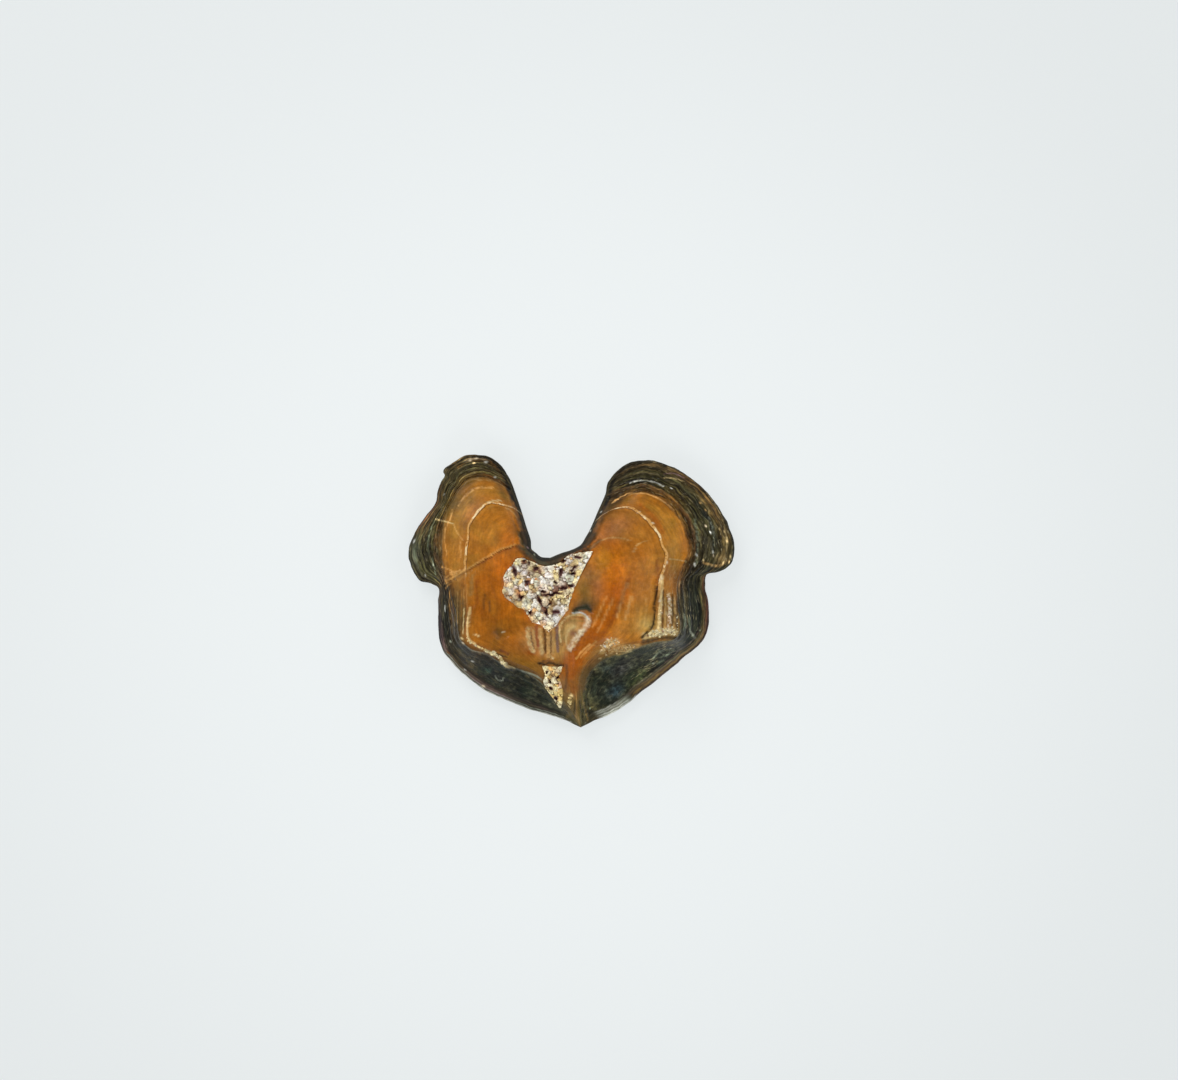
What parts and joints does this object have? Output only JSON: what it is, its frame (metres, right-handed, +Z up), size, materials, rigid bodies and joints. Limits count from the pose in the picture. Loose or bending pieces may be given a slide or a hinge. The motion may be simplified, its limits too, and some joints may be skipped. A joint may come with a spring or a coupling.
{
  "type": "fossil tooth",
  "caption": "Small heart-shaped fossil tooth with two rounded lobes, a notch between them, nested growth terraces, a keel to a pointed tip and sandy matrix in its hollows.",
  "frame": {"origin": "middle of the footprint, on the surface that the tooth rests on", "axes": "+X across the two lobes, +Y from the tip towards the lobes, +Z up out of the banded face"},
  "size_m": [0.0108, 0.009, 0.0022],
  "materials": {
    "enamel": "glossy",
    "matrix": "rough"
  },
  "bodies": {
    "root": {"tooth": "enamel", "matrix_fill": "matrix", "matrix_seam": "matrix"}
  },
  "joints": []
}
